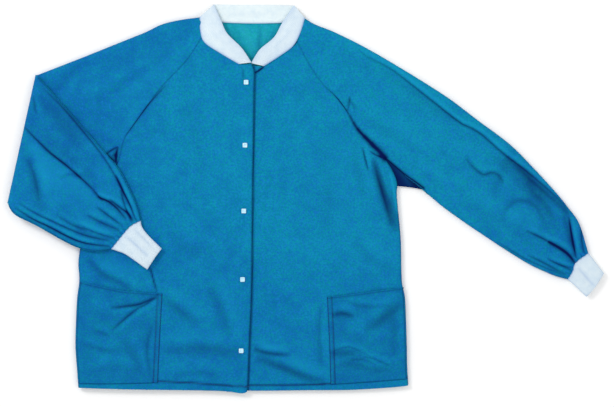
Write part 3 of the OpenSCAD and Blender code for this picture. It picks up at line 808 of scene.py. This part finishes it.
# Share of the way from the elbow fold's height to the cloth's own
def creaseShare(x, y):
    return roundEdge(nearest(x, y, rightCrease)[0], elbow["radius"])


foreValues = {
    "gather": 1.4,  # height of the gathers at the cuff's seam
    # Painted shade in the gathers' valleys and at the forearm's folded edges
    "paintedShade": 0.22,  # their darkness
    "rim": 0.45,  # darkness at the forearm's folded edges
}


# Right upper sleeve: its underside rises to the elbow fold
def rightSleeveHeights(x, y, t):
    above, shade = upperCloth(x, y, "right", sleeveCreases["right"], allSeams["right"])
    share = creaseShare(x, y)
    below = elbow["low"] + (lowerCloth(x, y, "right") - elbow["low"]) * share
    return above, np.minimum(below, above - 0.15 * np.sqrt(np.clip(share, 0, 1))), shade


# Left sleeve: level layers with gathers at the cuff
def leftSleeveHeights(x, y, t):
    above, shade = upperCloth(x, y, "left", sleeveCreases["left"], allSeams["left"])
    fluting = gathers(x, y, leftWrist, 9.0, 18)
    share = edgeShare(x, y, "left", layers["leftRound"])
    above = above - share * foreValues["gather"] * np.maximum(0, -fluting)
    return above, lowerCloth(x, y, "left"), shade + foreValues["paintedShade"] * np.clip(-fluting, 0, 1)


# Gathers: a sine round the wrist seam that dies away up the sleeve
def gathers(x, y, wrist, pitch, reach):
    gap, along, _ = nearest(x, y, wrist)
    phase = 2 * np.pi * along * lengthOf(wrist) / pitch + 0.6 * np.sin(along * 9)
    return np.sin(phase) * np.exp(-gap / reach)


# Forearm heights: rounded at both folded edges, and falling to the elbow fold over its radius
def foreHeights(x, y, t):
    middle = (layers["foreTop"] + layers["foreLow"]) / 2
    half = (layers["foreTop"] - layers["foreLow"]) / 2
    share = edgeShare(x, y, "fore", layers["foreRound"])
    rise, shade = creased(x, y, sleeveCreases["fore"])
    fluting = gathers(x, y, rightWrist, 9.5, 16)
    uneven = layers["ripple"] * ripple(x + 90, y) - foreValues["gather"] * np.maximum(0, -fluting)
    above = middle + share * (half + uneven + rise)
    above = elbow["high"] + (above - elbow["high"]) * creaseShare(x, y)
    below = np.minimum(middle - half * share, above - 0.1)
    shade = shade + foreValues["rim"] * (1 - share) ** 2 + foreValues["paintedShade"] * np.clip(-fluting, 0, 1)
    return above, below, shade


# The path without its first stretch
def cut(path, distance):
    return at(path, np.linspace(distance / lengthOf(path), 1, 60))


tubeEnd = rightCrease + [0.78, -0.17]  # both tubes stop short of the hinge, so they lie end to end unfolded
neckSide = np.vstack([[(-94, 375), (-89, 362), (-86, 351)], rightRaglan[::-1]])
cloths = [blueCloth, tealCloth]
tube, area = makeTube("right_upper_sleeve_cloth", rightTop, rightUnder, neckSide, tubeEnd,
                      rightSleeveHeights, cloths, toneAt, layers["cloth"], mesh["step"])
settle(tube, ["right_upper_sleeve"], "torso")
print("right upper sleeve made")

tube, area = makeTube("right_forearm_cloth", foreTop, foreLow, tubeEnd, rightWrist,
                      foreHeights, cloths, toneAt, layers["cloth"], mesh["step"])
settle(tube, ["right_forearm_sleeve"], "right_forearm")
print("right forearm made")

# Elbow fold: a half ellipse of cloth along the fold, from under the upper sleeve to over the forearm
s = steps(lengthOf(rightCrease), mesh["step"])
angle = np.radians(np.linspace(100, -100, 17))[:, None]
out = np.array(elbow["out"]) * elbow["bulge"] * (np.cos(angle) - 0.35)[..., None]
middle = (elbow["low"] + elbow["high"]) / 2
z = middle + (elbow["high"] - elbow["low"]) / 2 * np.sin(angle) + 0 * s
grid = np.dstack([at(rightCrease, s)[None] + out, z])
fold = build("right_elbow_fold_cloth", grid, turned(grid, True, firstHalf=True), cloths,
             shade=0.12, tone=toneAt(grid[..., 0], grid[..., 1]))
thicken(fold, elbow["cloth"])
settle(fold, [], "torso", "right_forearm")

# Left sleeve in two stretches, which meet at the elbow
leftEnd = np.vstack([[(114, 374), (106, 350)], leftRaglan, leftGroove[1:]])
tube, area = makeTube("left_upper_sleeve_cloth", leftTop, leftUnder, leftEnd, leftElbow,
                      leftSleeveHeights, cloths, toneAt, layers["cloth"], mesh["step"])
settle(tube, ["left_sleeve_head", "left_upper_sleeve"],
       "torso", "left_arm")

tube, area = makeTube("left_forearm_cloth", leftForeTop, leftForeLow, leftElbow, leftWrist,
                      leftSleeveHeights, cloths, toneAt, layers["cloth"], mesh["step"])
settle(tube, ["left_forearm_sleeve"], "left_arm", "left_forearm")
print("left sleeve made")

# Underarm: the layer that shows between the body's edge and the sleeve, painted dark as the shadow that lies
# there
underarm = {
    "height": 4.6,  # height of its upper face above the table
    # painted shadow over the whole layer
    "dark": 0.97,
}
low = smooth([(286, 38), (322, 35), (364, 28)], 20)
high = smooth([(262, 112), (306, 82), (362, 36)], 20)
xy = patch(low, high, np.array([(286, 38), (262, 112)]), np.array([(364, 28), (362, 36)]),
           np.linspace(0, 1, 34), np.linspace(0, 1, 26))
x, y = xy[..., 0], xy[..., 1]
rise, shade = creased(x, y, [([(272, 96), (300, 62), (322, 30)], 5, 1.0, 0.0, 0.2)])
grid = np.dstack([xy, underarm["height"] + 0.3 * ripple(x, y) + rise])
under = build("left_underarm_cloth", grid, turned(grid, True), cloths,
              shade=shade + underarm["dark"], tone=0.2 * toneAt(x, y))
thicken(under, layers["cloth"])
settle(under, [], "torso", "left_arm")

cuffValues = {
    "round": 5.76,  # radius of the knit's turn at its sides
    "hem": 2.5,  # rounding of the cuff's open end
    "rib": 0.18,  # height of the ribs
    "ribPitch": 5.2,
    "cloth": 1.4,
}


# Rib cuff: a flattened tube, a rounded box in section, thinner at its seam and its open end. Its ribs
# are a sine round the wrist.
def makeCuff(side, top, under, start, end, low, high, bands):
    def heights(x, y, t):
        toSides = np.min([nearest(x, y, path)[0] for path in (top, under)], axis=0)
        share = roundEdge(toSides, cuffValues["round"])
        mouth = nearest(x, y, end)[0]
        lip = roundEdge(mouth, cuffValues["hem"]) * 0.35 + 0.65
        gap = nearest(x, y, start)[0]
        seam = np.exp(-((gap / 2.0) ** 2))
        near = np.exp(-((gap / 9.0) ** 2)) + 0.7 * np.exp(-((mouth / 6.0) ** 2))
        middle, half = (low + high) / 2, (high - low) / 2
        ribs = cuffValues["rib"] * np.sin(2 * np.pi * t[:, None] * lengthOf(start) / cuffValues["ribPitch"])
        rise, shade = creased(x, y, bands)
        above = middle + half * share * lip * (1 - 0.22 * seam) + (ribs + rise) * share
        # Painted shade: an even share, more at the seam, near the seam and the mouth, and at the rounded
        # sides
        dark = 0.17 + 0.4 * seam + 0.16 * near + 0.4 * (1 - share) + shade
        return above, middle - half * share * lip, dark

    def place(s, t):
        around = np.concatenate([t, 2 - t[-2:0:-1]]) * lengthOf(start)
        u, v = np.meshgrid(around, s * lengthOf(top), indexing="ij")
        return np.dstack([u, v, 0 * u])

    obj, area = makeTube(f"{side}_cuff_knit", top, under, start, end, heights, [whiteKnit],
                         lambda x, y: 0 * x, cuffValues["cloth"], mesh["knitStep"], knit=place)
    settle(obj, [f"{side}_cuff"], f"{side}_forearm")


makeCuff("right", smooth([(-212, -32), (-209, -45), (-197, -61), (-170, -88)]),
         smooth([(-271, -89), (-256, -94), (-240, -101), (-199, -130)]), rightWrist,
         smooth([(-170, -88), (-182, -104), (-192, -119), (-199, -130)]), 18.4, 27.6,
         [([(-243, -62), (-222, -80), (-196, -104)], 5, -0.5, 0.16, 0.0),
          ([(-226, -48), (-208, -66), (-186, -88)], 4, -0.4, 0.12, 0.0)])
makeCuff("left", smooth([(684, -97), (694, -110), (715, -138)]),
         smooth([(642, -150), (656, -162), (680, -185)]), leftWrist,
         smooth([(715, -138), (704, -156), (694, -170), (680, -185)]), 1.6, 11.2,
         [([(662, -126), (676, -142), (696, -164)], 5, -0.5, 0.16, 0.0)])
print("cuffs made")

# Collar: a doubled knit band. Its back lies flat behind the neck and its arms lie on the fronts.
collarValues = {
    "round": 4.0,  # radius of the band's folded free edge
    "height": 36.0,  # of the band, along which its stitches run
    "cloth": 0.9,
    # painted shade near the free edge, against that near the seam
    "inner": 1.3,  # darkness near the free edge, against that near the seam
}


# Rounded at its free edge and pressed down at its seam. Its level is given by a function of the place.
def makeCollar(part, nodes, outer, inner, near, far, level, thick, bands, tint,
               other=None):
    s = steps(lengthOf(outer), mesh["knitStep"])
    t = steps(max(lengthOf(far), lengthOf(near)), mesh["knitStep"])
    xy = patch(outer, inner, near, far, s, t)
    x, y = xy[..., 0], xy[..., 1]
    toInner, toOuter = nearest(x, y, inner)[0], nearest(x, y, outer)[0]
    free = roundEdge(toInner, collarValues["round"])
    sewn = np.exp(-((toOuter / 2.2) ** 2))
    middle = level(y) - thick / 2
    rise, shade = creased(x, y, bands)
    above = middle + thick / 2 * free * (1 - 0.5 * sewn) + rise * free
    below = middle - thick / 2 * free
    ring = np.concatenate([np.dstack([xy, above]), np.dstack([xy, below])[-2:0:-1]])
    # Painted shade: at the seam, on the free edge's turn, and the tint, an even painted shade that grows
    # near both edges
    soft = np.exp(-((toOuter / 9.0) ** 2)) + collarValues["inner"] * np.exp(-((toInner / 8.0) ** 2))
    dark = shade + 0.55 * sewn + 0.2 * (1 - free) + tint * (1 + soft)
    u, v = np.meshgrid(s * lengthOf(outer), np.concatenate([t, t[-2:0:-1]]) * collarValues["height"])
    obj = build(f"{part}_collar_knit", ring, turned(ring, True, ring=True), [whiteKnit],
                knit=np.dstack([u, v, 0 * u]), shade=np.concatenate([dark, 0 * dark[-2:0:-1]]), tone=0.5)
    thicken(obj, collarValues["cloth"])
    settle(obj, nodes, "torso", other)


# Height of a collar's arm: it falls to the back over its last 70 mm by a power of the way
def armLevel(high, fall):
    return lambda y: high - fall * np.clip((y - 330) / 70, 0, 1) ** 1.3


makeCollar("back", ["back_collar"], smooth([(-94, 374), (-60, 366), (10, 363), (80, 365), (116, 372)]),
           smooth([(-66, 401), (-20, 400), (40, 400), (94, 399)]), np.array([(-94, 374), (-66, 401)]),
           np.array([(116, 372), (94, 399)]), lambda y: 6.2 + 0 * y, 3.6,
           [([(-40, 386), (10, 383), (60, 386)], 8, 0.3, 0.06, 0.05)], 0.0)
makeCollar("right", ["right_collar_end"],
           smooth([(-17, 281), (-48, 299), (-84, 323), (-93, 345), (-95, 375)]),
           smooth([(9, 284), (-3, 303), (-14, 317), (-40, 343), (-52, 369), (-66, 401)]),
           np.array([(-17, 281), (9, 284)]), np.array([(-95, 375), (-66, 401)]), armLevel(19.0, 7.5), 3.4,
           [([(-6, 290), (-30, 312), (-60, 336), (-78, 372)], 7, 0.35, 0.05, 0.06)],
           0.15, "right_flap")
makeCollar("left", ["left_collar_end"], smooth([(34, 277), (64, 296), (92, 317), (106, 342), (116, 373)]),
           smooth([(8, 283), (18, 300), (28, 313), (54, 335), (70, 363), (94, 399)]),
           np.array([(34, 277), (8, 283)]), np.array([(116, 373), (94, 399)]), armLevel(14.6, 3.2), 3.4,
           [([(26, 290), (54, 314), (80, 340), (98, 380)], 7, 0.35, 0.05, 0.06)],
           0.17, "left_flap")
print("collar made")

pocketValues = {
    "proud": 1.3,  # pocket cloth above the front it is sewn to
    "puff": 3.4,  # how far the mouth stands off
    "strip": 9.0,  # width of the double-stitched strip
    "dark": 0.1,  # darker than the front
    "tone": 0.72,  # share of the front's tone spots
}
pockets = {
    "right": {
        "bottom": smooth([(-337, -359), (-260, -359), (-178, -357)]),
        "mouth": smooth([(-333, -154), (-302, -161), (-274, -167), (-240, -173), (-169, -178)]),
        "outer": np.vstack([at(rightSide, np.linspace(0.02, 0.47, 30)) + [3.2, 0]]),
        "inner": smooth([(-178, -357), (-174, -270), (-169, -178)]),
        "creases": [
            ([(-180, -184), (-202, -194), (-224, -201), (-274, -207)], 4.5, -1.3, 0.42, 0.2),
            ([(-180, -184), (-202, -200), (-224, -212), (-270, -251)], 4.5, -1.2, 0.36, 0.2),
            ([(-306, -251), (-290, -257), (-274, -263)], 5.5, -0.6, 0.14, 0.12),
            ([(-332, -277), (-304, -287), (-262, -294)], 6.5, -0.8, 0.15, 0.14),
            ([(-320, -200), (-290, -212), (-262, -222)], 8, 1.1, 0.0, 0.14),
            ([(-250, -270), (-226, -300), (-214, -340)], 9, -1.0, 0.18, 0.12),
            ([(-318, -330), (-270, -322), (-220, -332)], 8, 1.0, 0.05, 0.12),
            ([(-190, -240), (-200, -290), (-192, -340)], 6, -0.8, 0.2, 0.1),
        ],
    },
    "left": {
        "bottom": smooth([(319, -350), (240, -356), (167, -361)]),
        "mouth": smooth([(314, -166), (270, -171), (220, -178), (160, -185)]),
        "outer": np.vstack([at(leftSide, np.linspace(0.02, 0.475, 30)) - [3.0, 0]]),
        "inner": smooth([(167, -361), (164, -270), (160, -185)]),
        "creases": [
            ([(170, -222), (190, -218), (214, -224)], 7.5, -1.2, 0.48, 0.2),
            ([(200, -196), (240, -204), (290, -202)], 6, -0.9, 0.16, 0.16),
            ([(232, -256), (262, -236), (290, -212), (312, -198)], 12, -1.2, 0.42, 0.2),
            ([(190, -246), (240, -268), (290, -262)], 9, 1.2, 0.0, 0.14),
            ([(164, -300), (196, -297), (230, -306)], 9, -1.1, 0.42, 0.14),
            ([(176, -292), (200, -285), (222, -291), (244, -301)], 3.4, -0.6, 0.2, 0.12),
            ([(222, -303), (250, -308), (286, -322)], 4, -0.8, 0.24, 0.16),
            ([(204, -312), (232, -310), (262, -322)], 3.4, -0.6, 0.2, 0.12),
            ([(176, -326), (206, -320), (262, -330), (306, -322)], 9, -0.9, 0.32, 0.12),
            ([(220, -340), (260, -334), (306, -338)], 7, 0.9, 0.0, 0.12),
            ([(290, -210), (296, -260), (292, -310)], 8, -0.9, 0.14, 0.1),
        ],
    },
}


# Pocket half: from a sewn side to the middle. It stands off the front by a puff, a half sine across
# the pocket that grows with the square of the way up to the mouth.
def makePocket(side, half):
    p = pockets[side]
    flip = 1 if side == "right" else -1
    low, high, inner, outer = p["bottom"], p["mouth"], p["inner"], p["outer"]
    outer = np.vstack([low[:1], outer[1:-1], high[:1]])
    near = np.array([0.0, 0.1, 0.4, 1.0, 2.0]) / lengthOf(low)
    s = np.unique(np.round(np.r_[steps(lengthOf(low), mesh["step"]), 0.5 - near, 0.5 + near], 7))
    t = steps(lengthOf(inner), mesh["step"])
    full = patch(low, high, outer, inner, s, t)
    middle = int(np.argmin(np.abs(s - 0.5)))
    columns = slice(0, middle + 1) if half == "outer" else slice(middle, len(s))
    x, y = full[..., 0], full[..., 1]
    z, shade = upperCloth(x, y, side, [])
    rise, dark = creased(x, y, p["creases"])
    up = t[:, None]
    across = s[None]
    puff = pocketValues["puff"] * np.sin(np.pi * across) ** 0.8 * (0.25 + 0.75 * up**2)
    sewn = np.minimum(nearest(x, y, np.vstack([outer[::-1], low, inner]))[0], 99)
    edge = roundEdge(sewn, 2.2)
    strip = at(inner, t)[:, None, 0] - pocketValues["strip"] * flip
    stripLine = np.exp(-(((x - strip) / 1.5) ** 2))
    mouthLine = np.exp(-(((1 - up) * lengthOf(inner) - 3.0) / 1.6) ** 2)
    z = z + pocketValues["proud"] * edge + puff + rise - 0.7 * stripLine
    seams = 0.5 * stripLine + 0.55 * np.exp(-((sewn / 1.6) ** 2)) + 0.34 * mouthLine
    shade = shade * 0.5 + dark + seams + pocketValues["dark"]
    grid = np.dstack([full, z])[:, columns]
    x, y, shade = x[:, columns], y[:, columns], shade[:, columns]
    obj = build(f"{side}_pocket_{half}_cloth", grid, turned(grid, True), cloths,
                shade=shade, tone=toneAt(x, y) * pocketValues["tone"])
    thicken(obj, layers["cloth"])
    settle(obj, [f"{side}_pocket", f"{side}_pocket_edging"],
           "torso", f"{side}_pocket_panel")


for side in ("right", "left"):
    for half in ("outer", "inner"):
        makePocket(side, half)
print("pockets made")

stitchValues = {
    "pitch": 3.6,  # from one stitch to the next, mm
    "length": 2.9,
    "radius": 0.42,
    "sunk": 0.1,
}


# Stitches: short spindles of thread end to end along a path, each with two tips and two square rings
def makeStitches(name, paths, height, body, other=None):
    points, quads, tris, count = [], [], [], 0
    half, r = stitchValues["length"] / 2, stitchValues["radius"]
    up = np.array([0, 0, 1.0])
    k = np.arange(4)
    n = (k + 1) % 4
    for path in paths:
        size = lengthOf(path)
        along = np.arange(stitchValues["pitch"], size, stitchValues["pitch"])
        mid = at(path, along / size)
        way = at(path, np.clip((along + 1) / size, 0, 1)) - mid
        way /= np.maximum(np.linalg.norm(way, axis=1, keepdims=True), 1e-6)
        z = height(mid[:, 0], mid[:, 1])
        centre = np.column_stack([mid, z])
        way = np.column_stack([way, 0 * z])
        side = np.column_stack([-way[:, 1], way[:, 0], 0 * z])
        rings = [centre - way * half]
        for shift in (-0.6, 0.6):
            rings += [centre + way * half * shift + r * (side * c + up * d)
                      for c, d in ((1, 0), (0, 1), (-1, 0), (0, -1))]
        rings.append(centre + way * half)
        points.append(np.stack(rings, 1).reshape(-1, 3))
        first = count + 10 * np.arange(len(mid))[:, None, None]
        quads.append((first + np.stack([1 + k, 1 + n, 5 + n, 5 + k], -1)).reshape(-1, 4))
        tris.append((first + np.stack([0 * k, 1 + n, 1 + k], -1)).reshape(-1, 3))
        tris.append((first + np.stack([9 + 0 * k, 5 + k, 5 + n], -1)).reshape(-1, 3))
        count += 10 * len(mid)
    faces = np.concatenate(quads).tolist() + np.concatenate(tris).tolist()
    obj = build(name, np.concatenate(points), faces, [blueThread])
    settle(obj, [], body, other)


# Heights that the threads lie at: a front's own, sunk a little, and a pocket's
def frontTop(side):
    return lambda x, y: upperCloth(x, y, side, torsoCreases[side], allSeams[side])[0] - stitchValues["sunk"]


def pocketTop(side):
    return lambda x, y: upperCloth(x, y, side, [])[0] + pocketValues["proud"] + stitchValues["sunk"]


for side, path in (("right", hemStitch), ("left", hemStitchLeft)):
    makeStitches(f"{side}_hem_stitches", [cut(path, 2.0)], frontTop(side), "torso", f"{side}_flap")
for side, way in (("right", -1), ("left", 1)):
    rows = [pockets[side]["inner"] + [way * gap, 0] for gap in (1.6, pocketValues["strip"])]
    makeStitches(f"{side}_pocket_stitches", rows, pocketTop(side), "torso")
print("stitches made")

snapValues = {
    "places": [244.5, 118.5, -13.0, -150.0, -292.5],  # heights of the snaps up the coat
    "cap": 9.4,  # side of a cap
    "disc": 4.5,  # radius of the inner discs
}


# Turned profile, its rings squared by a power: radius r, height z, corners (cos^p, sin^p)
def turnedShape(profile, square, count):
    angle = np.linspace(0, 2 * np.pi, count, endpoint=False)
    c, s = np.cos(angle), np.sin(angle)
    size = (np.abs(c) ** square + np.abs(s) ** square) ** (-1 / square)
    r, z = np.asarray(profile, float).T
    ring = np.dstack([r[:, None] * size * c, r[:, None] * size * s, np.repeat(z[:, None], count, 1)])
    n = len(profile)
    i = np.arange(n - 1)[:, None]
    j = np.arange(count)[None]
    k = (j + 1) % count
    corners = [i * count + j, i * count + k, (i + 1) * count + k, (i + 1) * count + j]
    return ring.reshape(-1, 3), np.stack(corners, -1).reshape(-1, 4)


# One part of the snaps, repeated down the front. Its middles lie on a straight line from hem to collar.
def makeSnaps(name, profile, square, body, node, z):
    shape, faces = turnedShape(profile, square, 40)
    places = [(12 * (y + 372.5) / 654 - 13, y, z) for y in snapValues["places"]]
    points = np.concatenate([shape + place for place in places])
    quads = np.concatenate([faces + i * len(shape) for i in range(len(places))])
    obj = build(name, points, quads, [snapPlastic])
    settle(obj, [node], body)


half = snapValues["cap"] / 2
disc = snapValues["disc"]
makeSnaps("snap_caps_plastic",
          [(0.01, -2.2), (1.1, -2.2), (1.1, 0.0), (half, 0.0), (half, 0.9), (half - 0.25, 1.35),
           (half - 0.8, 1.6), (2.6, 1.62), (2.0, 1.4), (1.6, 0.9), (0.7, 0.6), (0.01, 0.55)],
          7, "right_flap", "snap_caps", 16.8)
makeSnaps("snap_sockets_plastic",
          [(0.01, 1.0), (2.0, 1.0), (2.0, 0.0), (2.6, -0.05), (disc - 0.4, 0.15), (disc, 0.5), (disc, 1.1),
           (disc - 0.3, 1.4), (0.01, 1.4)],
          2, "right_flap", "snap_sockets", 13.0)
makeSnaps("snap_studs_plastic",
          [(0.01, 0.0), (disc - 0.2, 0.0), (disc, 0.2), (disc - 0.2, 0.5), (1.9, 0.55), (1.4, 0.8),
           (1.6, 1.2), (1.2, 1.55), (0.01, 1.6)],
          2, "left_flap", "snap_studs", 12.2)
makeSnaps("snap_posts_plastic",
          [(0.01, -0.8), (disc - 0.3, -0.8), (disc, -0.5), (disc, -0.2), (disc - 0.3, 0.0), (1.1, 0.05),
           (1.1, 2.3), (0.01, 2.4)],
          2, "left_flap", "snap_posts", 9.8)
print("snaps made")

# Stage, light and camera
stage = {
    "half": 1500,  # half the floor's side, mm
    "drop": -0.6,  # the floor's height, mm
    "air": 0.80,  # strength of the even white light
    "key": ((-1.9, 1.5, 2.3), 0.9, 34),  # place and size in metres, power in watts
    "fill": ((1.4, -0.6, 2.6), 2.0, 10),
    "eye": (0.120, 0.002, 4.015),  # the camera's place
    "film": 36,
    "reach": 4.0,  # distance at which the view is as wide as "wide"
    "wide": 1.228,
}
corners = [(x * stage["half"], y * stage["half"], stage["drop"])
           for x, y in ((-1, -1), (1, -1), (1, 1), (-1, 1))]
floor = build("floor", corners, np.array([[0, 1, 2, 3]]), [], tone=0.0)
paper, tree, shader = newMaterial("white_matt_paper", 0.9)
place = addNode(tree, "ShaderNodeTexCoord").outputs["Object"]
grain = addNode(tree, "ShaderNodeTexNoise", {"Vector": place, "Scale": 14.0, "Detail": 3.0}).outputs[0]
tree.links.new(mixColour(tree, grain, linear("#FDFDFD"), linear("#FFFFFF")), shader.inputs["Base Color"])
floor.data.materials.append(paper)
floor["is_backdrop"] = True

world = bpy.data.worlds.new("studio")
bpy.context.scene.world = world
world.use_nodes = True
world.node_tree.nodes["Background"].inputs["Color"].default_value = (1, 1, 1, 1)
world.node_tree.nodes["Background"].inputs["Strength"].default_value = stage["air"]


# Softbox aimed at the middle of the coat
def softbox(name, place, size, power):
    data = bpy.data.lights.new(name, "AREA")
    data.shape = "DISK"
    data.size = size
    data.energy = power
    lamp = bpy.data.objects.new(name, data)
    bpy.context.scene.collection.objects.link(lamp)
    lamp.location = place
    lamp.rotation_mode = "QUATERNION"
    lamp.rotation_quaternion = (-lamp.location).to_track_quat("-Z", "Y")
    lamp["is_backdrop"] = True


for name in ("key", "fill"):
    softbox(name, *stage[name])

lens = bpy.data.cameras.new("camera")
lens.sensor_width = stage["film"]
lens.lens = stage["film"] * stage["reach"] / stage["wide"]
camera = bpy.data.objects.new("camera", lens)
camera.location = stage["eye"]
bpy.context.scene.collection.objects.link(camera)
bpy.context.scene.camera = camera
bpy.context.scene.view_settings.view_transform = "Standard"

low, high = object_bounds()
